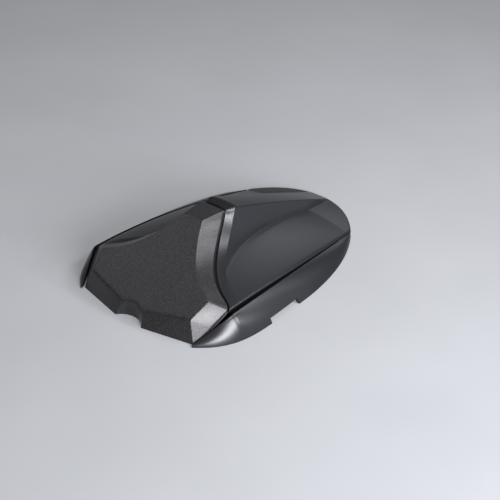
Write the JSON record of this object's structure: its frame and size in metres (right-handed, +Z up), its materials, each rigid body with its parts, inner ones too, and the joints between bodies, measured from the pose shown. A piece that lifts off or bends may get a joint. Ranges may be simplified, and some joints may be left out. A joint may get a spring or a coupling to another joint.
{
  "type": "motorcycle seat cowl",
  "caption": "Cover that takes the place of a pillion seat: painted humped shell and side skirts, black front panel, and a base with a latch striker and a tongue.",
  "frame": {"origin": "middle of the box round the cowl, on the plane of its lower rim", "axes": "+X to the motorcycle's left, +Y to its rear, +Z up"},
  "size_m": [0.228, 0.3198, 0.076],
  "materials": {
    "paint": "satin dark blue-grey metallic paint",
    "grained_black": "black with a fine moulded grain",
    "black_plastic": "plain black moulding",
    "plated_steel": "zinc plated",
    "black_screws": "black coated",
    "black_rubber": "matt black"
  },
  "bodies": {
    "root": {"upper_shell": "paint", "front_panel": "grained_black", "left_side_skirt": "paint", "right_side_skirt": "paint", "base_plate": "black_plastic", "striker_bracket": "plated_steel", "striker_loop": "plated_steel", "striker_bolts": "plated_steel", "striker_nuts": "plated_steel", "rear_tongue": "plated_steel", "tongue_screws": "black_screws", "front_left_damper": "black_rubber", "front_right_damper": "black_rubber", "rear_left_damper": "black_rubber", "rear_right_damper": "black_rubber", "shell_screws": "black_screws", "panel_screws": "black_screws", "left_skirt_screws": "black_screws", "right_skirt_screws": "black_screws", "left_edge_strip": "black_rubber", "right_edge_strip": "black_rubber"}
  },
  "joints": []
}
